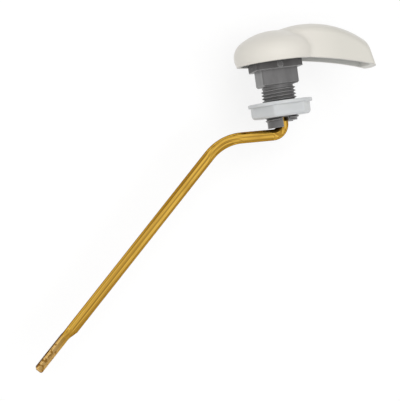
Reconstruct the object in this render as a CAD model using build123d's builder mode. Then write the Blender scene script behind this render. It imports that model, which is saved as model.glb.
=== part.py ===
"""Cistern lever: moulded handle, threaded bushing, nylon locknut and bent brass arm.

The origin is the middle of the flange face that seats on the outside of the cistern.
+Y goes through the cistern wall to the arm, +X is the arm's side, +Z is up in use.
"""
import os
from math import acos, asin, atan2, cos, degrees, hypot, radians, sin, sqrt, tan

from build123d import *

# Driving dimensions of the bushing, in mm
FLANGE_SIDE = 21.6
FLANGE_THICKNESS = 3.5
FLANGE_CORNER_R = 2.3
GATE_PIP_D = 2.8
GATE_PIP_PROUD = 0.6
GATE_PIP_CHAMFER = 0.3
BOSS_SIDE = 17.0
BOSS_LENGTH = 7.5
BOSS_CORNER_R = 1.2
BOSS_CHAMFER = 0.7
BARREL_CORE_D = 14.1
BARREL_END = 24.2
COLLAR_END = 26.8
SPLIT_WIDTH = 2.6
SPLIT_START = 22.3
BORE_MOUTH_D = 9.0
BORE_MOUTH_DEPTH = 2.6

# Driving dimensions of the arm
ROD_D = 5.2
ROD_FLATS = 4.2
ROD_FLATS_LENGTH = 6.5
ROD_TOP = 13.0
RADIAL_DEPTH = 30.1
RADIAL_LENGTH = 29.6
RADIAL_TILT = 2.5
LONG_LENGTH = 134.2
LONG_ANGLE = 43.35
ELBOW_R = 5.0
SWEEP_R = 22.0
TANG_THICKNESS = 3.6
TANG_WIDTH = 6.8
TANG_EDGE_R = 1.2
TANG_LENGTH = 19.0
TANG_TAPER = 5.0
TANG_OFFSET = 0.7
TANG_END_R = 0.9
CHAIN_HOLE_D = 3.4
CHAIN_HOLE_INSET = 8.5

# Driving dimensions of the locknut
NUT_SEAT = 14.9
NUT_HEIGHT = 7.1
NUT_ACROSS_FLATS = 25.8
NUT_CORNER_R = 2.2
NUT_FLANGE_D = 30.0
NUT_FLANGE_THICKNESS = 1.6
NUT_CHAMFER = 0.8
NUT_FLANGE_CHAMFER = 0.3
NUT_TURN = 24.0

# Driving dimensions of the handle, heights measured up from the hub's rim
RIM_OVERLAP = 0.35
WALL = 2.2
DOME_D = 37.0
DOME_TUCK = 0.8
DOME_HEIGHT = 14.9
DOME_WAIST = 3.9
DOME_SHOULDER_R = 8.0
PADDLE_WIDTH = 20.0
PADDLE_REACH = 46.4
PADDLE_DROP = 7.8
PADDLE_TOE_LENGTH = 5.4
PADDLE_EDGE_OUT = PADDLE_REACH - PADDLE_TOE_LENGTH
PADDLE_EDGE_DROP = 5.7
PADDLE_EDGE_BOW = 0.5
PADDLE_ARCH_R = 44.0
PADDLE_PEAK_OUT = 14.6
PADDLE_PEAK_HEIGHT = 16.2
PADDLE_CROWN = 3.6
PADDLE_SHOULDER_R = 4.0
PADDLE_END_LEAN = 12.4
PADDLE_END_R = 60.0
PADDLE_TOE_R = 2.2
CREASE_R = 4.0
SOCKET_D = 10.0
RIB_THICKNESS = 2.0
RIB_COUNT = 4

# Swing of the lever, from its stop to the raised arm
SWING = 40.0

# Clearances between pieces
BORE_CLEARANCE = 0.2
SOCKET_CLEARANCE = 0.05
THREAD_CLEARANCE = 0.2
END_FLOAT = 0.35
STOP_CLEARANCE = 2.0
RIB_CLEARANCE = 0.8
LUG_HEIGHT = 3.0
LUG_INNER_R = 7.0
LUG_OUTER_R = 10.0

# Working values
MARGIN = 2.0
SKIRT = 12.0
rod_r = ROD_D / 2
bore_r = rod_r + BORE_CLEARANCE
core_r = BARREL_CORE_D / 2
dome_r = DOME_D / 2
rim_r = dome_r - DOME_TUCK
edge_start = sqrt(rim_r**2 - (PADDLE_WIDTH / 2) ** 2)
rim_lift = FLANGE_THICKNESS - RIM_OVERLAP
socket_foot = FLANGE_THICKNESS + END_FLOAT
rib_foot = FLANGE_THICKNESS + RIB_CLEARANCE
stop_rib_angle = degrees(asin(RIB_THICKNESS / 2 / LUG_INNER_R))
lug_angle = 360 / RIB_COUNT - SWING - 2 * stop_rib_angle - 2 * STOP_CLEARANCE

# Arcs of the hub: the shoulder's centre, and the crown that runs on from the shoulder over the spindle
shoulder_out = dome_r - DOME_SHOULDER_R
crown_rise = DOME_HEIGHT - DOME_WAIST
crown_r = (shoulder_out**2 + crown_rise**2 - DOME_SHOULDER_R**2) / (2 * (crown_rise - DOME_SHOULDER_R))
tuck_reach = hypot(DOME_SHOULDER_R - DOME_TUCK, DOME_WAIST)
tuck_lean = atan2(DOME_WAIST, DOME_SHOULDER_R - DOME_TUCK) - acos(DOME_SHOULDER_R / tuck_reach)
skirt_r = rim_r - SKIRT * tan(tuck_lean)

# Side view of the handle: x runs out along the paddle, y up from the hub's rim
side_view = Plane(origin=(0, -rim_lift, 0), x_dir=(-1, 0, 0), z_dir=(0, 0, 1))
# Front view at the foot of the skirt, moved out so that the leaning end is right at the paddle's tip
end_lean = radians(PADDLE_END_LEAN)
foot_out = (SKIRT - PADDLE_DROP) * tan(end_lean)
foot_view = Plane(origin=(-foot_out, SKIRT - rim_lift, 0), x_dir=(-1, 0, 0), z_dir=(0, -1, 0))
# Section of the paddle at the middle of its arch: x runs up, y across it
arch_centre = side_view.from_local_coords((PADDLE_PEAK_OUT, PADDLE_PEAK_HEIGHT - PADDLE_ARCH_R, 0))
arch_view = Plane(origin=arch_centre, x_dir=(0, -1, 0), z_dir=(-1, 0, 0))

# Half plane through the spindle where the stop lug starts: x runs out from the spindle, y into the cistern
lug_start = radians(SWING + stop_rib_angle + STOP_CLEARANCE)
lug_out = Vector(cos(lug_start), 0, sin(lug_start))
lug_view = Plane(origin=(0, 0, 0), x_dir=lug_out, z_dir=lug_out.cross(Vector(0, 1, 0)))


def depth(distance):
    """Plane across the spindle, facing into the cistern, with x up and y towards the arm."""
    return Plane.ZX.offset(distance)


def crown_edge(inset):
    """Point where the hub's shoulder runs into its crown, drawn in by an inset."""
    reach = (crown_r - inset) / (crown_r - DOME_SHOULDER_R)
    return (shoulder_out * reach, DOME_HEIGHT - crown_r + (crown_r - crown_rise) * reach)


def hub_cavity(inset):
    """Inside of the hub, drawn in by an inset and carried on below the rim."""
    with BuildPart() as form:
        with BuildSketch(side_view):
            with BuildLine():
                Polyline(
                    (rim_r - inset, -SKIRT),
                    (rim_r - inset, DOME_WAIST),
                    crown_edge(inset),
                    (0, DOME_HEIGHT - inset),
                    (0, -SKIRT),
                    close=True,
                )
            make_face()
        revolve(axis=Axis.Y)
    return form.part


def paddle_form(section, inset):
    """Section carried round the arch and cut to the paddle's outline, carried on below its lower edge."""
    half = PADDLE_WIDTH / 2 - inset
    corner_out = PADDLE_REACH - inset - PADDLE_END_R + sqrt(PADDLE_END_R**2 - half**2)
    with BuildPart() as form:
        add(section)
        revolve(axis=Axis(arch_centre, (0, 0, 1)))
        with BuildSketch(side_view):
            with Locations((0, -SKIRT)):
                Rectangle(PADDLE_REACH + SKIRT, SKIRT + DOME_D, align=(Align.MIN, Align.MIN))
        extrude(amount=PADDLE_WIDTH, both=True, mode=Mode.INTERSECT)
        with BuildSketch(foot_view):
            with BuildLine():
                end = RadiusArc((corner_out, half), (corner_out, -half), PADDLE_END_R)
                Polyline(end @ 1, (-SKIRT, -half), (-SKIRT, half), end @ 0)
            make_face()
        extrude(amount=SKIRT + DOME_D, dir=(sin(end_lean), -cos(end_lean), 0), mode=Mode.INTERSECT)
    return form.part


# Hub: a leaning side, a round shoulder and a shallow crown turned about the spindle
with BuildPart() as hub:
    with BuildSketch(side_view):
        with BuildLine():
            side_top = (
                shoulder_out + DOME_SHOULDER_R * cos(tuck_lean),
                DOME_WAIST - DOME_SHOULDER_R * sin(tuck_lean),
            )
            side = Line((skirt_r, -SKIRT), side_top)
            shoulder = TangentArc(side @ 1, crown_edge(0), tangent=side % 1)
            crown = TangentArc(shoulder @ 1, (0, DOME_HEIGHT), tangent=shoulder % 1)
            Polyline(crown @ 1, (0, -SKIRT), side @ 0)
        make_face()
    revolve(axis=Axis.Y)

# Sections of the paddle: crowned with soft shoulders outside, plain roof inside
paddle_half = PADDLE_WIDTH / 2
paddle_shoulder = PADDLE_ARCH_R - PADDLE_CROWN
paddle_root = PADDLE_ARCH_R / 4
with BuildSketch(arch_view) as crowned_section:
    with BuildLine():
        ThreePointArc((paddle_shoulder, paddle_half), (PADDLE_ARCH_R, 0), (paddle_shoulder, -paddle_half))
        Polyline(
            (paddle_shoulder, -paddle_half),
            (paddle_root, -paddle_half),
            (paddle_root, paddle_half),
            (paddle_shoulder, paddle_half),
        )
    make_face()
    fillet(crowned_section.vertices().sort_by(Axis.X)[-2:], PADDLE_SHOULDER_R)
with BuildSketch(arch_view) as cavity_section:
    with BuildLine():
        Polyline(
            (paddle_shoulder - WALL, paddle_half - WALL),
            (PADDLE_ARCH_R - WALL, 0),
            (paddle_shoulder - WALL, WALL - paddle_half),
            (paddle_root, WALL - paddle_half),
            (paddle_root, paddle_half - WALL),
            close=True,
        )
    make_face()

paddle_cavity = paddle_form(cavity_section.sketch, WALL)
hub_room = hub_cavity(WALL)
hub_core = hub_cavity(WALL / 2)

# Paddle, with its end rolled over into the arch
with BuildPart() as paddle:
    add(paddle_form(crowned_section.sketch, 0))
    toe_edges = paddle.faces().sort_by(Axis.X)[0].edges().sort_by(Axis.Y)[:-1]
    fillet(toe_edges, PADDLE_TOE_R)

# Socket and ribs inside the hub, trimmed to end within the hub's wall
with BuildPart() as hub_frame:
    with BuildSketch(Plane.XZ.offset(socket_foot)):
        Circle(SOCKET_D / 2)
    extrude(amount=DOME_HEIGHT)
    with BuildSketch(Plane.XZ.offset(rib_foot)):
        with PolarLocations(0, RIB_COUNT):
            Rectangle(dome_r, RIB_THICKNESS, align=(Align.MIN, Align.CENTER))
    extrude(amount=DOME_HEIGHT)
    add(hub_core, mode=Mode.INTERSECT)

# Handle: hub and paddle in one hollow moulding
with BuildPart() as handle:
    add(hub.part)
    add(paddle.part)
    crease = new_edges(hub.part, paddle.part, combined=handle.part)
    fillet(crease, CREASE_R)
    # Trim to the rim, and to the paddle's lower edge
    with BuildSketch(side_view):
        with BuildLine():
            edge = SagittaArc((edge_start, 0), (PADDLE_EDGE_OUT, -PADDLE_EDGE_DROP), PADDLE_EDGE_BOW)
            toe = TangentArc(edge @ 1, (PADDLE_REACH, -PADDLE_DROP), tangent=edge % 1)
            Polyline(toe @ 1, (PADDLE_REACH, DOME_D), (-DOME_D, DOME_D), (-DOME_D, 0), edge @ 0)
        make_face()
    extrude(amount=DOME_D, both=True, mode=Mode.INTERSECT)
    add(hub_room, mode=Mode.SUBTRACT)
    add(paddle_cavity, mode=Mode.SUBTRACT)
    add(hub_frame.part)
    with BuildSketch(Plane.XZ.offset(socket_foot)):
        Circle(rod_r + SOCKET_CLEARANCE)
        Rectangle(ROD_D + MARGIN, ROD_FLATS + 2 * SOCKET_CLEARANCE, mode=Mode.INTERSECT)
    extrude(amount=ROD_TOP + SOCKET_CLEARANCE - socket_foot, mode=Mode.SUBTRACT)
    with BuildSketch(Plane.XZ.offset(socket_foot)):
        Circle(rod_r + SOCKET_CLEARANCE)
    extrude(amount=ROD_TOP - ROD_FLATS_LENGTH + SOCKET_CLEARANCE - socket_foot, mode=Mode.SUBTRACT)
handle.part.label = "handle"

# Bushing: flange, boss and barrel turned and squared about the spindle
with BuildPart() as bushing:
    with BuildSketch(depth(-FLANGE_THICKNESS)):
        RectangleRounded(FLANGE_SIDE, FLANGE_SIDE, FLANGE_CORNER_R)
    extrude(amount=FLANGE_THICKNESS)
    with BuildSketch(depth(0)):
        RectangleRounded(BOSS_SIDE, BOSS_SIDE, BOSS_CORNER_R)
    extrude(amount=BOSS_LENGTH)
    boss_end = bushing.faces().filter_by(Axis.Y).sort_by(Axis.Y)[-1]
    chamfer(boss_end.edges(), BOSS_CHAMFER)
    with BuildSketch(depth(BOSS_LENGTH)):
        Circle(core_r)
    extrude(amount=COLLAR_END - BOSS_LENGTH)
    # The half away from the arm stops short of the collar, and the split parts the two halves
    with BuildSketch(depth(BARREL_END)):
        Rectangle(BOSS_SIDE, BOSS_SIDE, align=(Align.CENTER, Align.MAX))
    extrude(amount=COLLAR_END - BARREL_END, mode=Mode.SUBTRACT)
    with BuildSketch(depth(SPLIT_START)):
        Rectangle(BOSS_SIDE, SPLIT_WIDTH)
    extrude(amount=COLLAR_END - SPLIT_START, mode=Mode.SUBTRACT)
    # Bore for the arm, flared at the collar to clear the bend
    with BuildSketch(depth(-FLANGE_THICKNESS)):
        Circle(bore_r)
    extrude(amount=FLANGE_THICKNESS + COLLAR_END, mode=Mode.SUBTRACT)
    with BuildSketch(Plane.XY):
        with BuildLine():
            Polyline(
                (0, COLLAR_END - BORE_MOUTH_DEPTH),
                (bore_r, COLLAR_END - BORE_MOUTH_DEPTH),
                (BORE_MOUTH_D / 2, COLLAR_END),
                (0, COLLAR_END),
                close=True,
            )
        make_face()
    revolve(axis=Axis.Y, mode=Mode.SUBTRACT)
    # Stop lug inside the hub, between two of the handle's ribs
    with BuildSketch(lug_view):
        with Locations((LUG_INNER_R, -FLANGE_THICKNESS - LUG_HEIGHT)):
            Rectangle(LUG_OUTER_R - LUG_INNER_R, LUG_HEIGHT, align=(Align.MIN, Align.MIN))
    revolve(axis=-Axis.Y, revolution_arc=lug_angle)
    # Moulding pip on the upper side of the flange
    with BuildSketch(Plane.XY.offset(FLANGE_SIDE / 2)):
        with Locations((0, -FLANGE_THICKNESS / 2)):
            Circle(GATE_PIP_D / 2)
    extrude(amount=GATE_PIP_PROUD)
    chamfer(bushing.faces().sort_by(Axis.Z)[-1].edges(), GATE_PIP_CHAMFER)
bushing.part.label = "bushing"

# Locknut: hexagon with its washer flange on the cistern side
with BuildPart() as locknut:
    with BuildSketch(depth(NUT_SEAT)):
        Circle(NUT_FLANGE_D / 2)
    extrude(amount=NUT_FLANGE_THICKNESS)
    with BuildSketch(depth(NUT_SEAT)):
        RegularPolygon(NUT_ACROSS_FLATS / 2, 6, major_radius=False, rotation=NUT_TURN)
    extrude(amount=NUT_HEIGHT)
    fillet(locknut.edges().filter_by(Axis.Y), NUT_CORNER_R)
    nut_end = locknut.faces().filter_by(Axis.Y).sort_by(Axis.Y)[-1]
    chamfer(nut_end.edges(), NUT_CHAMFER)
    flange_rims = locknut.edges().filter_by(GeomType.CIRCLE).group_by(SortBy.RADIUS)[-1]
    chamfer(flange_rims, NUT_FLANGE_CHAMFER)
    with BuildSketch(depth(NUT_SEAT)):
        Circle(core_r + THREAD_CLEARANCE)
    extrude(amount=NUT_HEIGHT, mode=Mode.SUBTRACT)
locknut.part.label = "locknut"

# Arm: the rod's line, then its flats, its body and its flattened tip
rod_root = Vector(0, ROD_FLATS_LENGTH - ROD_TOP, 0)
elbow = Vector(0, RADIAL_DEPTH, 0)
radial_way = Vector(cos(radians(RADIAL_TILT)), -sin(radians(RADIAL_TILT)), 0)
long_way = Vector(cos(radians(LONG_ANGLE)), sin(radians(LONG_ANGLE)), 0)
tang_face = Vector(long_way.Y, -long_way.X, 0)
corner = elbow + radial_way * RADIAL_LENGTH
tip = corner + long_way * LONG_LENGTH
tang_root = tip - long_way * TANG_LENGTH
taper_root = tang_root - long_way * TANG_TAPER

with BuildPart() as arm:
    with BuildLine() as rod_line:
        FilletPolyline(rod_root, elbow, corner, taper_root, radius=[ELBOW_R, SWEEP_R])
    with BuildSketch(Plane.XZ.offset(ROD_TOP - ROD_FLATS_LENGTH)):
        Circle(rod_r)
    sweep(path=rod_line.wires()[0])
    with BuildSketch(Plane.XZ.offset(ROD_TOP - ROD_FLATS_LENGTH)):
        Circle(rod_r)
        Rectangle(ROD_D + MARGIN, ROD_FLATS, mode=Mode.INTERSECT)
    extrude(amount=ROD_FLATS_LENGTH)
    with BuildSketch(Plane(taper_root, x_dir=(0, 0, 1), z_dir=long_way)):
        Circle(rod_r)
    with BuildSketch(Plane(tang_root + tang_face * TANG_OFFSET, x_dir=(0, 0, 1), z_dir=long_way)):
        RectangleRounded(TANG_WIDTH, TANG_THICKNESS, TANG_EDGE_R)
    loft()
    with BuildSketch(Plane(tang_root + tang_face * TANG_OFFSET, x_dir=(0, 0, 1), z_dir=long_way)):
        RectangleRounded(TANG_WIDTH, TANG_THICKNESS, TANG_EDGE_R)
    extrude(amount=TANG_LENGTH)
    tang_end = arm.faces().sort_by(Axis((0, 0, 0), long_way))[-1]
    fillet(tang_end.edges(), TANG_END_R)
    with BuildSketch(Plane(tip + tang_face * TANG_OFFSET - long_way * CHAIN_HOLE_INSET, z_dir=tang_face)):
        Circle(CHAIN_HOLE_D / 2)
    extrude(amount=TANG_THICKNESS, both=True, mode=Mode.SUBTRACT)
arm.part.label = "arm"

os.makedirs("parts", exist_ok=True)
export_step(handle.part, "parts/handle.step")
export_step(bushing.part, "parts/bushing.step")
export_step(locknut.part, "parts/locknut.step")
export_step(arm.part, "parts/arm.step")
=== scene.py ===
"""Looks of a cistern lever: moulded handle, threaded bushing, nylon nut and drawn brass arm.

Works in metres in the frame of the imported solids: the spindle runs along Y, with the handle on -Y
and the arm on +Y.
"""
from math import cos, hypot, pi, radians, sin, sqrt, tau

import bpy
from mathutils import Matrix, Vector


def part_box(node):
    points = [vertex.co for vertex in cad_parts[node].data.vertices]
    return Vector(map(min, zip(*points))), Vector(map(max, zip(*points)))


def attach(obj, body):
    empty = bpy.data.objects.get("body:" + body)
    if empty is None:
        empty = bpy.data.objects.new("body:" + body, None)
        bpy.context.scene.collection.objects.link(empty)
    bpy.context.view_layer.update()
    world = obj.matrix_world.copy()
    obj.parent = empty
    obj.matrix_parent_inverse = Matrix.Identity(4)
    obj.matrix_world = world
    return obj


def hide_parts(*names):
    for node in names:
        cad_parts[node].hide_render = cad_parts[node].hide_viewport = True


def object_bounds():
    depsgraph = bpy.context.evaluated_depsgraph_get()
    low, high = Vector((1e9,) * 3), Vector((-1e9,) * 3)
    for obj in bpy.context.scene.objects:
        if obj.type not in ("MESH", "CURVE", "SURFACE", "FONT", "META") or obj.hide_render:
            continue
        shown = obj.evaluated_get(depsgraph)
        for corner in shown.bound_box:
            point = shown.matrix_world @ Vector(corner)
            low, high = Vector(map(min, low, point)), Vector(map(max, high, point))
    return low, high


bl_info = {
    "name": "Cistern lever",
    "version": (1, 0, 0),
    "blender": (4, 5, 0),
    "location": "View3D > Sidebar > Cistern lever",
    "description": "Finishes a flush lever and sets it on a white table",
    "category": "Object",
}

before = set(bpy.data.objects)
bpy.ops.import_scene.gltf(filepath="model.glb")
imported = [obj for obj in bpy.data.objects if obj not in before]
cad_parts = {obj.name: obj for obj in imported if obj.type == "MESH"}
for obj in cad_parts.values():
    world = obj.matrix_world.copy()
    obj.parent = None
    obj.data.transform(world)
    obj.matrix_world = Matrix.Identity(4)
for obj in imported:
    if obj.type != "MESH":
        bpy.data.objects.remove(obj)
cad_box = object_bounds()
MM = 0.001
# Edges of the new pieces that turn by more than this are drawn sharp
SHARP_ANGLE = radians(35)

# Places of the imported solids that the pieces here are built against
nut_low, nut_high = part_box("locknut")
arm_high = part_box("arm")[1]
bushing_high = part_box("bushing")[1]


def srgb(code):
    """Turns an sRGB hex code into linear red, green and blue."""
    parts = [int(code[i : i + 2], 16) / 255 for i in (1, 3, 5)]
    return tuple(c / 12.92 if c <= 0.04045 else ((c + 0.055) / 1.055) ** 2.4 for c in parts)


def length(name, description, default_mm):
    """A length that the user can change, given in millimetres and held in metres."""
    return bpy.props.FloatProperty(
        name=name, description=description, default=default_mm * MM, min=0.0, unit="LENGTH", precision=5
    )


def turn_angle(name, description, degrees):
    """An angle that the user can change, given in degrees."""
    return bpy.props.FloatProperty(
        name=name, description=description, default=radians(degrees), subtype="ANGLE"
    )


def point(name, description, metres):
    """A place that the user can change."""
    return bpy.props.FloatVectorProperty(
        name=name, description=description, default=metres, subtype="TRANSLATION", precision=5
    )


def colour(name, description, code):
    """A colour that the user can change, given as an sRGB hex code."""
    return bpy.props.FloatVectorProperty(
        name=name, description=description, default=srgb(code), size=3, min=0.0, max=1.0, subtype="COLOR"
    )


class HandleLook(bpy.types.PropertyGroup):
    """Finish of the handle."""

    body: colour("Body", "Off-white of the moulding", "#E6E2D9")
    cast: colour("Cast", "Greyer tone that the moulding drifts to", "#DEDAD1")
    # The paddle's duller tone, and the two distances that bring it on, are painted shade, darker away from
    # the hub
    paddle_shade: colour("Handled", "Duller tone of the paddle, where hands press it", "#D6D3CA")
    # The grey inside the shell is painted shade in its hollow
    shade: colour("Dust", "Grey of the dust inside the shell", "#CBCBC7")
    soft_edge: length("Soft edge", "Radius that the mould leaves on every edge", 0.5)
    paddle_shade_from: length("Handled from", "Distance from the spindle where the duller tone begins", 14.0)
    paddle_shade_full: length("Handled full", "Distance from the spindle where the duller tone is full", 30.0)


class ThreadSize(bpy.types.PropertyGroup):
    """Sizes of the bushing's thread, and the bushing's finish."""

    core_d: length("Core", "Diameter at the root of the thread", 14.1)
    crest_d: length("Crest", "Diameter over the thread", 16.0)
    pitch: length("Pitch", "Spacing of the thread", 1.5)
    start: length("Start", "Depth where the thread starts, just past the square boss", 7.9)
    end: length("End", "Depth where the thread ends", 23.9)
    split_start: length("Split start", "Depth where the barrel's end is split", 22.3)
    split_width: length("Split width", "Width of the split", 2.6)
    pip_top: length("Pip top", "Height of the flange's gate pip above the spindle", bushing_high.z / MM)
    # The soft edge rounds the shading and sets the width of the painted edge highlight
    soft_edge: length("Soft edge", "Radius that wear leaves on every edge", 0.4)
    body: colour("Body", "Grey of the moulding", "#757474")
    cast: colour("Cast", "Darker grey along the moulding's flow", "#575656")
    # The paler edge grey is a painted highlight along the softened edges
    edge: colour("Edge", "Paler grey where edges are rubbed", "#BEBDBC")
    # The dark grey is painted shade in corners and the painted shadow of the handle on the flange
    shade_grey: colour("Grime", "Dark grey of dust in the corners", "#3E3C3B")


class NutSize(bpy.types.PropertyGroup):
    """Sizes and finish of the nut."""

    seat: length("Seat", "Depth of the face that bears on the cistern wall", nut_low.y / MM)
    height: length("Height", "Height of the nut with its washer", (nut_high.y - nut_low.y) / MM)
    washer_d: length("Washer", "Diameter of the washer that is moulded on", (nut_high.x - nut_low.x) / MM)
    washer_height: length("Washer height", "Thickness of the washer", 1.6)
    across_flats: length("Across flats", "Width over two opposite flats", 25.8)
    corner_r: length("Corner", "Radius of the corners between the flats", 2.2)
    end_r: length("End", "Radius of the edge at the free end", 1.7)
    bore_d: length("Bore", "Diameter that clears the thread", 16.3)
    turn: turn_angle("Turn", "Angle of one corner from the top", 24.0)
    body: colour("Body", "White of the nylon", "#D3D5D5")
    cloud: colour("Cloud", "Greyer white of the cloudiness in it", "#C8CACB")


class ArmLook(bpy.types.PropertyGroup):
    """Finish of the arm."""

    brass: colour("Brass", "Bright drawn brass", "#E3B652")
    tarnish: colour("Tarnish", "Browner brass where it has dulled", "#8C5F14")
    scuffed: colour("Scuffed", "Paler brass of the flattened tip", "#FBD28A")
    rim: colour("Rim", "Brown that tints what the rod mirrors along its edges", "#6E5A34")
    elbow_depth: length("Elbow depth", "Depth of the right-angle bend's corner", 30.1)
    corner_out: length("Corner out", "Distance of the second bend's corner from the spindle", 29.57)
    corner_depth: length("Corner depth", "Depth of the second bend's corner", 28.81)
    tip_out: length("Tip out", "Distance of the arm's tip from the spindle", arm_high.x / MM)
    radial_turn: turn_angle("Radial turn", "Direction of the short run", -2.5)
    long_turn: turn_angle("Long turn", "Direction of the long run", 43.35)


class StageLook(bpy.types.PropertyGroup):
    """Floor, lamps and camera."""

    floor_gap: length("Floor gap", "Room under the lever at rest for the swing of its paddle", 22.0)
    white: colour("White", "Colour of the floor and backdrop", "#FFFFFF")
    lens: bpy.props.FloatProperty(
        name="Lens", description="Focal length on a 36 mm sensor", default=106.56, min=1.0, unit="CAMERA"
    )
    roll: turn_angle("Roll", "Turn of the camera about its line of sight", -7.93)
    place: point("Place", "Where the camera stands", (0.13391, 0.035, 0.537))
    aim: point("Aim", "Point that the camera looks at and the lamps are turned to", (0.04369, 0.05512, 0.0))


def add_node(tree, kind, settings=None, links=None):
    """Adds one node, with values for its attributes and inputs, and links into its inputs."""
    node = tree.nodes.new(kind)
    for key, value in (settings or {}).items():
        if isinstance(key, int) or key in node.inputs:
            node.inputs[key].default_value = value
        else:
            setattr(node, key, value)
    for key, socket in (links or {}).items():
        tree.links.new(socket, node.inputs[key])
    return node


def new_material(name):
    """An empty node material, and its tree."""
    material = bpy.data.materials.new(name)
    material.use_nodes = True
    material.node_tree.nodes.clear()
    return material, material.node_tree


def opaque(rgb):
    """Colour of a property with full alpha, as the sockets take it."""
    return (*rgb, 1.0)


def per_metre(size_mm):
    """Scale of a pattern whose features have a given size in millimetres."""
    return 1.0 / (size_mm * MM)


def dress(node, material):
    """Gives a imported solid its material."""
    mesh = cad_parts[node].data
    mesh.materials.clear()
    mesh.materials.append(material)


def new_piece(name, points, faces, material, body, slot):
    """A smooth-shaded mesh that rides on a body."""
    mesh = bpy.data.meshes.new(name)
    mesh.from_pydata(points, [], faces)
    mesh.validate()
    mesh.shade_smooth()
    mesh.set_sharp_from_angle(angle=SHARP_ANGLE)
    mesh.materials.append(material)
    piece = bpy.data.objects.new(name, mesh)
    bpy.context.scene.collection.objects.link(piece)
    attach(piece, body)
    return piece


def moulded_abs(look):
    """Gloss ABS from a polished mould: an even off-white with a soft broad shine and no sharp edge, under
    painted shade that darkens the paddle away from the hub and inside the shell.
    """
    material, tree = new_material("moulded_abs")
    place = add_node(tree, "ShaderNodeTexCoord").outputs["Object"]
    # Slow drift of tone over the moulding, about 30 mm across
    drift = add_node(tree, "ShaderNodeTexNoise", {"Scale": per_metre(30), "Detail": 2.0}, {"Vector": place})
    tone = add_node(
        tree,
        "ShaderNodeMix",
        {"data_type": "RGBA", 6: opaque(look.body), 7: opaque(look.cast)},
        {0: drift.outputs["Fac"]},
    )
    # Painted shade that darkens the paddle comes on past the hub, on the -X side of the spindle
    across = add_node(tree, "ShaderNodeSeparateXYZ", links={0: place}).outputs["X"]
    along_paddle = add_node(
        tree,
        "ShaderNodeMapRange",
        {"From Min": -look.paddle_shade_from, "From Max": -look.paddle_shade_full},
        {"Value": across},
    )
    paddle_toned = add_node(
        tree,
        "ShaderNodeMix",
        {"data_type": "RGBA", 7: opaque(look.paddle_shade)},
        {0: along_paddle.outputs["Result"], 6: tone.outputs[2]},
    )
    # Painted shade inside the shell, on faces that its other walls shelter within 20 mm
    shelter = add_node(tree, "ShaderNodeAmbientOcclusion", {"samples": 8, "Distance": 20 * MM})
    shade_share = add_node(
        tree,
        "ShaderNodeMapRange",
        {"From Min": 0.9, "From Max": 0.65},
        {"Value": shelter.outputs["AO"]},
    )
    shade_toned = add_node(
        tree,
        "ShaderNodeMix",
        {"data_type": "RGBA", 7: opaque(look.shade)},
        {0: shade_share.outputs["Result"], 6: paddle_toned.outputs[2]},
    )
    # Waviness of a polished mould, 0.3 mm across on the real one and drawn at 2 mm so that it shows
    peel = add_node(tree, "ShaderNodeTexNoise", {"Scale": per_metre(2), "Detail": 1.0}, {"Vector": place})
    gloss = add_node(
        tree, "ShaderNodeMapRange", {"To Min": 0.26, "To Max": 0.36}, {"Value": drift.outputs["Fac"]}
    )
    dulled = add_node(
        tree, "ShaderNodeMix", {3: 0.7}, {0: shade_share.outputs["Result"], 2: gloss.outputs["Result"]}
    )
    soft_edge = add_node(tree, "ShaderNodeBevel", {"samples": 8, "Radius": look.soft_edge})
    skin = add_node(
        tree,
        "ShaderNodeBump",
        {"Strength": 0.05, "Distance": 0.05 * MM},
        {"Height": peel.outputs["Fac"], "Normal": soft_edge.outputs["Normal"]},
    )
    shader = add_node(
        tree,
        "ShaderNodeBsdfPrincipled",
        {"IOR": 1.53},
        {"Base Color": shade_toned.outputs[2], "Roughness": dulled.outputs[0], "Normal": skin.outputs["Normal"]},
    )
    add_node(tree, "ShaderNodeOutputMaterial", links={"Surface": shader.outputs["BSDF"]})
    return material


def edge_highlight(tree, soft_edge, low, high):
    """Share of a painted highlight, which is nothing on a flat face and grows to full on an edge that is
    softened.
    """
    face = add_node(tree, "ShaderNodeNewGeometry").outputs["Normal"]
    bend = add_node(
        tree,
        "ShaderNodeVectorMath",
        {"operation": "DOT_PRODUCT"},
        {0: face, 1: soft_edge.outputs["Normal"]},
    )
    return add_node(
        tree, "ShaderNodeMapRange", {"From Min": high, "From Max": low}, {"Value": bend.outputs["Value"]}
    ).outputs["Result"]


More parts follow.
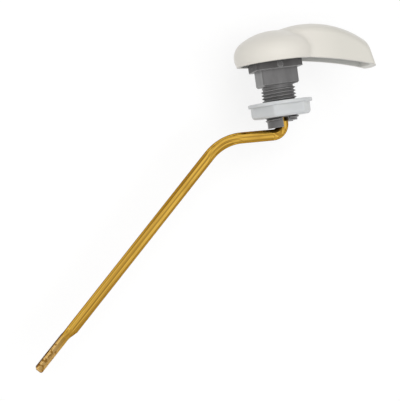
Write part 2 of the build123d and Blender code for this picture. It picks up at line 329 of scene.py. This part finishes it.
def moulded_acetal(look):
    """Grey acetal from a spark-eroded mould: satin and finely grained, with flow lines, painted highlights
    on its edges and painted shade in its corners and on its flange.
    """
    material, tree = new_material("moulded_acetal")
    place = add_node(tree, "ShaderNodeTexCoord").outputs["Object"]
    # Flow lines along the spindle, about 5 mm apart and 14 mm long
    flow_place = add_node(
        tree,
        "ShaderNodeMapping",
        {"vector_type": "TEXTURE", "Scale": (5 * MM, 14 * MM, 5 * MM)},
        {"Vector": place},
    )
    flow = add_node(
        tree, "ShaderNodeTexNoise", {"Scale": 1.0, "Detail": 3.0}, {"Vector": flow_place.outputs["Vector"]}
    )
    streak = add_node(
        tree, "ShaderNodeMapRange", {"From Min": 0.25, "From Max": 0.75}, {"Value": flow.outputs["Fac"]}
    )
    tone = add_node(
        tree,
        "ShaderNodeMix",
        {"data_type": "RGBA", 6: opaque(look.body), 7: opaque(look.cast)},
        {0: streak.outputs["Result"]},
    )
    # Painted shade in corners and thread roots, up to 3 mm from a wall, and the painted shadow of the
    # handle all over the flange
    shelter = add_node(tree, "ShaderNodeAmbientOcclusion", {"samples": 8, "Distance": 3 * MM})
    in_corner = add_node(
        tree,
        "ShaderNodeMapRange",
        {"From Min": 0.8, "From Max": 0.3, "To Max": 0.4},
        {"Value": shelter.outputs["AO"]},
    )
    measured = add_node(tree, "ShaderNodeSeparateXYZ", links={0: place})
    on_flange = add_node(
        tree,
        "ShaderNodeMapRange",
        {"From Min": 0.0, "From Max": -0.5 * MM, "To Max": 0.6},
        {"Value": measured.outputs["Y"]},
    )
    shade_share = add_node(
        tree,
        "ShaderNodeMath",
        {"operation": "MAXIMUM"},
        {0: in_corner.outputs["Result"], 1: on_flange.outputs["Result"]},
    )
    # The gate pip stands 0.6 mm proud of the flange, so most of the painted shadow is left off it
    pip_foot = look.pip_top - 0.5 * MM
    pip_face = look.pip_top - 0.2 * MM
    off_pip = add_node(
        tree,
        "ShaderNodeMapRange",
        {"From Min": pip_foot, "From Max": pip_face, "To Min": 1.0, "To Max": 0.35},
        {"Value": measured.outputs["Z"]},
    )
    shade = add_node(
        tree,
        "ShaderNodeMath",
        {"operation": "MULTIPLY"},
        {0: shade_share.outputs[0], 1: off_pip.outputs["Result"]},
    ).outputs[0]
    shade_toned = add_node(
        tree,
        "ShaderNodeMix",
        {"data_type": "RGBA", 7: opaque(look.shade_grey)},
        {0: shade, 6: tone.outputs[2]},
    )
    soft_edge = add_node(tree, "ShaderNodeBevel", {"samples": 6, "Radius": look.soft_edge})
    # Painted highlight along the softened edges
    highlit = add_node(
        tree,
        "ShaderNodeMix",
        {"data_type": "RGBA", 7: opaque(look.edge)},
        {0: edge_highlight(tree, soft_edge, low=0.8, high=0.99), 6: shade_toned.outputs[2]},
    )
    # Spark-eroded grain, 0.1 mm on the real one and drawn at 0.5 mm so that it shows
    grain = add_node(
        tree, "ShaderNodeTexNoise", {"Scale": per_metre(0.5), "Detail": 2.0}, {"Vector": place}
    )
    sheen = add_node(
        tree, "ShaderNodeMapRange", {"To Min": 0.24, "To Max": 0.4}, {"Value": grain.outputs["Fac"]}
    )
    dulled = add_node(tree, "ShaderNodeMix", {3: 0.8}, {0: shade, 2: sheen.outputs["Result"]})
    skin = add_node(
        tree,
        "ShaderNodeBump",
        {"Strength": 0.2, "Distance": 0.05 * MM},
        {"Height": grain.outputs["Fac"], "Normal": soft_edge.outputs["Normal"]},
    )
    shader = add_node(
        tree,
        "ShaderNodeBsdfPrincipled",
        {"IOR": 1.48},
        {"Base Color": highlit.outputs[2], "Roughness": dulled.outputs[0], "Normal": skin.outputs["Normal"]},
    )
    add_node(tree, "ShaderNodeOutputMaterial", links={"Surface": shader.outputs["BSDF"]})
    return material


def natural_nylon(look):
    """Unfilled nylon: milky white that light sinks into, with a waxy shine."""
    material, tree = new_material("natural_nylon")
    place = add_node(tree, "ShaderNodeTexCoord").outputs["Object"]
    # Cloudiness of the cooled moulding, about 6 mm across
    cloud = add_node(tree, "ShaderNodeTexNoise", {"Scale": per_metre(6), "Detail": 2.0}, {"Vector": place})
    tone = add_node(
        tree,
        "ShaderNodeMix",
        {"data_type": "RGBA", 6: opaque(look.body), 7: opaque(look.cloud)},
        {0: cloud.outputs["Fac"]},
    )
    wax = add_node(
        tree, "ShaderNodeMapRange", {"To Min": 0.3, "To Max": 0.45}, {"Value": cloud.outputs["Fac"]}
    )
    # Tool marks of the mould, 0.2 mm on the real one and drawn at 0.8 mm so that they show
    marks = add_node(
        tree, "ShaderNodeTexNoise", {"Scale": per_metre(0.8), "Detail": 1.0}, {"Vector": place}
    )
    skin = add_node(
        tree, "ShaderNodeBump", {"Strength": 0.1, "Distance": 0.05 * MM}, {"Height": marks.outputs["Fac"]}
    )
    shader = add_node(
        tree,
        "ShaderNodeBsdfPrincipled",
        {
            "IOR": 1.53,
            "Subsurface Weight": 0.5,
            "Subsurface Radius": (1.0, 1.0, 1.1),
            "Subsurface Scale": 2.0 * MM,
        },
        {
            "Base Color": tone.outputs[2],
            "Roughness": wax.outputs["Result"],
            "Normal": skin.outputs["Normal"],
        },
    )
    add_node(tree, "ShaderNodeOutputMaterial", links={"Surface": shader.outputs["BSDF"]})
    return material


def along_the_rod(tree, look, place, out_from_spindle):
    """Place along and across the rod, which follows its three runs round the two bends."""
    elbow = (0.0, look.elbow_depth, 0.0)
    corner = (look.corner_out, look.corner_depth, 0.0)
    runs = [
        add_node(
            tree,
            "ShaderNodeMapping",
            {"vector_type": "TEXTURE", "Location": start, "Rotation": (0.0, 0.0, turn)},
            {"Vector": place},
        ).outputs["Vector"]
        for start, turn in ((elbow, radians(90)), (elbow, look.radial_turn), (corner, look.long_turn))
    ]
    # Each bend starts and ends at these distances from the spindle
    course = runs[0]
    for run, bend_start, bend_end in ((runs[1], 1 * MM, 6 * MM), (runs[2], 20 * MM, 38 * MM)):
        past_bend = add_node(
            tree,
            "ShaderNodeMapRange",
            {"From Min": bend_start, "From Max": bend_end},
            {"Value": out_from_spindle},
        )
        course = add_node(
            tree,
            "ShaderNodeMix",
            {"data_type": "VECTOR"},
            {0: past_bend.outputs["Result"], 4: course, 5: run},
        ).outputs[1]
    return course


def drawn_brass(look):
    """Yellow brass rod pulled through a die: bright, with lines along its length and dull brown bands."""
    material, tree = new_material("drawn_brass")
    place = add_node(tree, "ShaderNodeTexCoord").outputs["Object"]
    out_from_spindle = add_node(tree, "ShaderNodeSeparateXYZ", links={0: place}).outputs["X"]
    course = along_the_rod(tree, look, place, out_from_spindle)
    # Bands that the die has rubbed dull, 1.3 mm wide and 160 mm long
    band_place = add_node(
        tree,
        "ShaderNodeVectorMath",
        {"operation": "MULTIPLY", 1: (per_metre(160), per_metre(1.3), per_metre(1.3))},
        {0: course},
    )
    bands = add_node(
        tree, "ShaderNodeTexNoise", {"Scale": 1.0, "Detail": 1.0}, {"Vector": band_place.outputs[0]}
    )
    # Die lines, 90 mm long, and 0.05 mm wide on the real rod but drawn at 0.4 mm so that they show
    line_place = add_node(
        tree,
        "ShaderNodeVectorMath",
        {"operation": "MULTIPLY", 1: (per_metre(90), per_metre(0.4), per_metre(0.4))},
        {0: course},
    )
    lines = add_node(
        tree, "ShaderNodeTexNoise", {"Scale": 1.0, "Detail": 2.0}, {"Vector": line_place.outputs[0]}
    )
    # Dull patches from handling, about 9 mm across
    patches = add_node(
        tree, "ShaderNodeTexNoise", {"Scale": per_metre(9), "Detail": 4.0}, {"Vector": place}
    )
    # The flattened tip is scuffed paler, with brown spots about 1.6 mm across where the chain's clip sits
    spots = add_node(
        tree, "ShaderNodeTexNoise", {"Scale": per_metre(1.6), "Detail": 2.0}, {"Vector": place}
    )
    scuff_start = look.tip_out - 15 * MM
    scuff_full = look.tip_out - 10 * MM
    at_tip = add_node(
        tree,
        "ShaderNodeMapRange",
        {"From Min": scuff_start, "From Max": scuff_full},
        {"Value": out_from_spindle},
    )
    tip_spots = add_node(
        tree,
        "ShaderNodeMath",
        {"operation": "MULTIPLY"},
        {0: spots.outputs["Fac"], 1: at_tip.outputs["Result"]},
    )
    # The levels between which each pattern comes to dull the rod, and how dull it makes it
    stains = [
        add_node(
            tree,
            "ShaderNodeMapRange",
            {"From Min": low, "From Max": high, "To Max": share},
            {"Value": pattern},
        ).outputs["Result"]
        for pattern, low, high, share in (
            (bands.outputs["Fac"], 0.45, 0.62, 0.6),
            (lines.outputs["Fac"], 0.48, 0.62, 0.85),
            (patches.outputs["Fac"], 0.5, 0.75, 0.4),
            (tip_spots.outputs[0], 0.5, 0.6, 0.9),
        )
    ]
    dull = stains[0]
    for stain in stains[1:]:
        dull = add_node(tree, "ShaderNodeMath", {"operation": "MAXIMUM"}, {0: dull, 1: stain}).outputs[0]
    clean = add_node(
        tree,
        "ShaderNodeMix",
        {"data_type": "RGBA", 6: opaque(look.brass), 7: opaque(look.scuffed)},
        {0: at_tip.outputs["Result"]},
    )
    tone = add_node(
        tree,
        "ShaderNodeMix",
        {"data_type": "RGBA", 7: opaque(look.tarnish)},
        {0: dull, 6: clean.outputs[2]},
    )
    polish = add_node(tree, "ShaderNodeMapRange", {"To Min": 0.1, "To Max": 0.3}, {"Value": dull})
    skin = add_node(
        tree, "ShaderNodeBump", {"Strength": 0.25, "Distance": 0.03 * MM}, {"Height": lines.outputs["Fac"]}
    )
    shader = add_node(
        tree,
        "ShaderNodeBsdfPrincipled",
        {"Metallic": 1.0, "Specular Tint": opaque(look.rim)},
        {
            "Base Color": tone.outputs[2],
            "Roughness": polish.outputs["Result"],
            "Normal": skin.outputs["Normal"],
        },
    )
    add_node(tree, "ShaderNodeOutputMaterial", links={"Surface": shader.outputs["BSDF"]})
    return material


def white_table(look):
    """Matt white table that looks clear white, to the eye and in mirror images, with a soft shadow."""
    # The glow is above white by as much as makes up for the lit matt part, so that together they are white
    glow_share = 0.6
    glow_strength = 1.16
    matt_white = 0.8
    material, tree = new_material("white_table")
    path = add_node(tree, "ShaderNodeLightPath")
    seen = path.outputs["Is Camera Ray"]
    for kind in ("Is Glossy Ray", "Is Transmission Ray"):
        seen = add_node(
            tree, "ShaderNodeMath", {"operation": "MAXIMUM"}, {0: seen, 1: path.outputs[kind]}
        ).outputs[0]
    lift = add_node(tree, "ShaderNodeMath", {"operation": "MULTIPLY", 1: glow_share}, {0: seen})
    glow = add_node(tree, "ShaderNodeEmission", {"Color": opaque(look.white), "Strength": glow_strength})
    matt = add_node(tree, "ShaderNodeBsdfDiffuse", {"Color": opaque([matt_white * c for c in look.white])})
    both = add_node(
        tree,
        "ShaderNodeMixShader",
        links={0: lift.outputs[0], 1: matt.outputs["BSDF"], 2: glow.outputs["Emission"]},
    )
    add_node(tree, "ShaderNodeOutputMaterial", links={"Surface": both.outputs["Shader"]})
    return material


def ridge_runs(size):
    """Stations along the thread's helix, as runs that the split in the barrel's end breaks up."""
    # The ridge fades in and out over half a turn, and stops 0.3 mm short of the split
    steps = 72
    fade_steps = steps / 2
    split_reach = size.split_width / 2 + 0.3 * MM
    count = int((size.end - size.start) / size.pitch * steps)
    runs = [[]]
    for i in range(count + 1):
        angle = tau * i / steps
        depth = size.start + size.pitch * i / steps
        fade = min(1.0, i / fade_steps, (count - i) / fade_steps)
        across = abs(sin(angle)) * size.crest_d / 2
        if depth + size.pitch / 2 > size.split_start and across < split_reach:
            if runs[-1]:
                runs.append([])
        else:
            runs[-1].append((angle, depth, fade))
    return [run for run in runs if len(run) > 1]


def thread_mesh(size):
    """Points and faces of the thread's ridge, a blunt vee wound round the barrel and sunk into it."""
    sunk = 0.15 * MM
    half_foot = 0.44 * size.pitch
    half_crest = 0.09 * size.pitch
    root = size.core_d / 2 - sunk
    points = []
    faces = []
    for run in ridge_runs(size):
        first = len(points)
        for angle, depth, fade in run:
            crest = root + (size.crest_d / 2 - root) * fade
            section = [(-half_foot, root), (-half_crest, crest), (half_crest, crest), (half_foot, root)]
            for along, radius in section:
                points.append((radius * sin(angle), depth + along, radius * cos(angle)))
        for i in range(len(run) - 1):
            a = first + 4 * i
            for k in range(4):
                n = (k + 1) % 4
                faces.append((a + k, a + n, a + 4 + n, a + 4 + k))
        last = len(points) - 4
        faces.append((first + 3, first + 2, first + 1, first))
        faces.append((last, last + 1, last + 2, last + 3))
    return points, faces


def hexagon_reach(size, angle):
    """Distance from the spindle to the nut's rounded hexagon at an angle from the top."""
    apothem = size.across_flats / 2
    from_flat = (angle - size.turn) % (pi / 3) - pi / 6
    to_corner = pi / 6 - abs(from_flat)
    centre = (apothem - size.corner_r) / cos(pi / 6)
    aside = size.corner_r * sin(pi / 6)
    flat_end = aside / hypot(centre + size.corner_r * cos(pi / 6), aside)
    if sin(to_corner) < flat_end:
        return centre * cos(to_corner) + sqrt(size.corner_r**2 - (centre * sin(to_corner)) ** 2)
    return apothem / cos(from_flat)


def nut_mesh(size):
    """Points and faces of the nut, as rings carried from its bore over the washer and hexagon and back."""
    around = 288
    end = size.seat + size.height
    washer_top = size.seat + size.washer_height
    washer_r = size.washer_d / 2
    bore_r = size.bore_d / 2
    lip = 0.35 * MM
    mouth = 0.4 * MM
    # Angles round a rounded edge, which is a quarter turn
    arc = [radians(a) for a in range(0, 91, 15)]
    # Each ring is its depth, a plain radius or None for the hexagon, and how far it is drawn in
    rings = [(size.seat, bore_r + mouth, 0.0)]
    rings += [(size.seat + lip * (1 - cos(a)), washer_r - lip * (1 - sin(a)), 0.0) for a in arc]
    rings += [(washer_top - lip * (1 - sin(a)), washer_r - lip * (1 - cos(a)), 0.0) for a in arc]
    rings += [(washer_top + lip * (1 - cos(a)), None, -lip * (1 - sin(a))) for a in arc]
    rings += [(end - size.end_r * (1 - sin(a)), None, size.end_r * (1 - cos(a))) for a in arc]
    rings += [(end, bore_r + mouth, 0.0), (end - mouth, bore_r, 0.0), (size.seat + mouth, bore_r, 0.0)]
    points = []
    for depth, radius, inset in rings:
        for i in range(around):
            angle = tau * i / around
            reach = (hexagon_reach(size, angle) if radius is None else radius) - inset
            points.append((reach * sin(angle), depth, reach * cos(angle)))
    faces = []
    for r in range(len(rings)):
        low = r * around
        high = (r + 1) % len(rings) * around
        for i in range(around):
            j = (i + 1) % around
            faces.append((low + i, high + i, high + j, low + j))
    return points, faces


class CISTERN_OT_handle(bpy.types.Operator):
    """Finishes the moulded handle"""

    bl_idname = "cistern.handle"
    bl_label = "Handle"

    def execute(self, context):
        dress("handle", moulded_abs(context.scene.cistern_handle))
        return {"FINISHED"}


class CISTERN_OT_bushing(bpy.types.Operator):
    """Finishes the bushing and winds its thread"""

    bl_idname = "cistern.bushing"
    bl_label = "Bushing"

    def execute(self, context):
        size = context.scene.cistern_thread
        acetal = moulded_acetal(size)
        dress("bushing", acetal)
        new_piece("bushing_thread", *thread_mesh(size), acetal, "bushing", "bushing")
        return {"FINISHED"}


class CISTERN_OT_nut(bpy.types.Operator):
    """Moulds the nut, with a bore that takes the thread"""

    bl_idname = "cistern.nut"
    bl_label = "Nut"

    def execute(self, context):
        size = context.scene.cistern_nut
        nut = new_piece("nylon_nut", *nut_mesh(size), natural_nylon(size), "locknut", "locknut")
        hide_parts("locknut")
        return {"FINISHED"}


class CISTERN_OT_arm(bpy.types.Operator):
    """Finishes the drawn brass arm"""

    bl_idname = "cistern.arm"
    bl_label = "Arm"

    def execute(self, context):
        dress("arm", drawn_brass(context.scene.cistern_arm))
        return {"FINISHED"}


class CISTERN_OT_stage(bpy.types.Operator):
    """Sets the table, the lamps, the world and the camera"""

    bl_idname = "cistern.stage"
    bl_label = "Stage"

    def execute(self, context):
        look = context.scene.cistern_stage
        set_table(look)
        set_lamps(look)
        set_world(look)
        set_camera(look)
        context.scene.view_settings.view_transform = "Standard"
        return {"FINISHED"}


def set_table(look):
    """A wide white floor, far enough below the object for the swing of its paddle."""
    half_width = 4.0
    height = cad_box[0][2] - look.floor_gap
    mesh = bpy.data.meshes.new("table")
    corners = [(half_width * x, half_width * y, height) for x, y in ((-1, -1), (1, -1), (1, 1), (-1, 1))]
    mesh.from_pydata(corners, [], [(0, 1, 2, 3)])
    mesh.materials.append(white_table(look))
    table = bpy.data.objects.new("table", mesh)
    bpy.context.scene.collection.objects.link(table)


def set_lamps(look):
    """A broad key over the handle and a weak fill by the arm, neither of them seen in mirror images."""
    aim = Vector(look.aim)
    # Places and sizes are in metres, and powers in watts
    for name, place, size, power in (
        ("key", (-0.05, 0.0, 1.0), 0.8, 5.4),
        ("fill", (0.9, 0.2, 0.5), 0.8, 1.0),
    ):
        lamp = bpy.data.lights.new(name, "AREA")
        lamp.size = size
        lamp.energy = power
        holder = bpy.data.objects.new(name, lamp)
        holder.location = place
        holder.rotation_euler = (aim - Vector(place)).to_track_quat("-Z", "Y").to_euler()
        holder.visible_glossy = False
        bpy.context.scene.collection.objects.link(holder)


def set_world(look):
    """A white room, weaker on the object than to the eye, and dim overhead and low down in mirrors."""
    light_on_object = 0.55
    world = bpy.data.worlds.new("white_room")
    world.use_nodes = True
    tree = world.node_tree
    tree.nodes.clear()
    # The rise is 1 straight up and 0 at the horizon
    way = add_node(tree, "ShaderNodeTexCoord").outputs["Generated"]
    rise = add_node(tree, "ShaderNodeSeparateXYZ", links={0: way}).outputs["Z"]
    ceiling = add_node(
        tree,
        "ShaderNodeMapRange",
        {"From Min": 0.93, "From Max": 0.985, "To Min": 1.0, "To Max": 0.6},
        {"Value": rise},
    )
    skirting = add_node(
        tree,
        "ShaderNodeMapRange",
        {"From Min": 0.1, "From Max": 0.5, "To Min": 0.45, "To Max": 1.0},
        {"Value": rise},
    )
    room = add_node(
        tree,
        "ShaderNodeMath",
        {"operation": "MULTIPLY"},
        {0: ceiling.outputs["Result"], 1: skirting.outputs["Result"]},
    )
    path = add_node(tree, "ShaderNodeLightPath")
    mirrored = add_node(
        tree,
        "ShaderNodeMix",
        {2: light_on_object},
        {0: path.outputs["Is Glossy Ray"], 3: room.outputs[0]},
    )
    seen = add_node(
        tree,
        "ShaderNodeMath",
        {"operation": "MAXIMUM"},
        {0: path.outputs["Is Camera Ray"], 1: path.outputs["Is Transmission Ray"]},
    )
    level = add_node(tree, "ShaderNodeMix", {3: 1.0}, {0: seen.outputs[0], 2: mirrored.outputs[0]})
    glow = add_node(
        tree, "ShaderNodeBackground", {"Color": opaque(look.white)}, {"Strength": level.outputs[0]}
    )
    add_node(tree, "ShaderNodeOutputWorld", links={"Surface": glow.outputs["Background"]})
    bpy.context.scene.world = world


def set_camera(look):
    """The photograph's view: from over the nut side of the arm, with the handle upwards."""
    place = Vector(look.place)
    forward = (Vector(look.aim) - place).normalized()
    right = forward.cross(Vector((0.0, -1.0, 0.0))).normalized()
    up = right.cross(forward)
    rolled_right = right * cos(look.roll) + up * sin(look.roll)
    rolled_up = up * cos(look.roll) - right * sin(look.roll)
    lens = bpy.data.cameras.new("view")
    lens.sensor_fit = "HORIZONTAL"
    lens.sensor_width = 36.0
    lens.lens = look.lens
    camera = bpy.data.objects.new("view", lens)
    turn = Matrix((rolled_right, rolled_up, -forward)).transposed()
    camera.matrix_world = Matrix.Translation(place) @ turn.to_4x4()
    bpy.context.scene.collection.objects.link(camera)
    bpy.context.scene.camera = camera


class CISTERN_PT_lever(bpy.types.Panel):
    """Sidebar panel that lists the pieces"""

    bl_idname = "CISTERN_PT_lever"
    bl_label = "Cistern lever"
    bl_space_type = "VIEW_3D"
    bl_region_type = "UI"
    bl_category = "Cistern lever"

    def draw(self, context):
        for operator, settings, _ in PIECES:
            box = self.layout.box()
            box.operator(operator.bl_idname)
            group = getattr(context.scene, settings)
            for name in group.bl_rna.properties.keys():
                if name not in ("rna_type", "name"):
                    box.prop(group, name)


# Operators in the order they run, each with the name of its settings on the scene and their group
PIECES = (
    (CISTERN_OT_handle, "cistern_handle", HandleLook),
    (CISTERN_OT_bushing, "cistern_thread", ThreadSize),
    (CISTERN_OT_nut, "cistern_nut", NutSize),
    (CISTERN_OT_arm, "cistern_arm", ArmLook),
    (CISTERN_OT_stage, "cistern_stage", StageLook),
)


def register():
    """Registers the settings, the operators and the panel."""
    for operator, settings, group in PIECES:
        bpy.utils.register_class(group)
        setattr(bpy.types.Scene, settings, bpy.props.PointerProperty(type=group))
        bpy.utils.register_class(operator)
    bpy.utils.register_class(CISTERN_PT_lever)


def unregister():
    """Takes them away again."""
    bpy.utils.unregister_class(CISTERN_PT_lever)
    for operator, settings, group in reversed(PIECES):
        bpy.utils.unregister_class(operator)
        delattr(bpy.types.Scene, settings)
        bpy.utils.unregister_class(group)


def main():
    """Builds every piece and the stage."""
    register()
    bpy.ops.cistern.handle()
    bpy.ops.cistern.bushing()
    bpy.ops.cistern.nut()
    bpy.ops.cistern.arm()
    bpy.ops.cistern.stage()


if __name__ == "__main__":
    main()
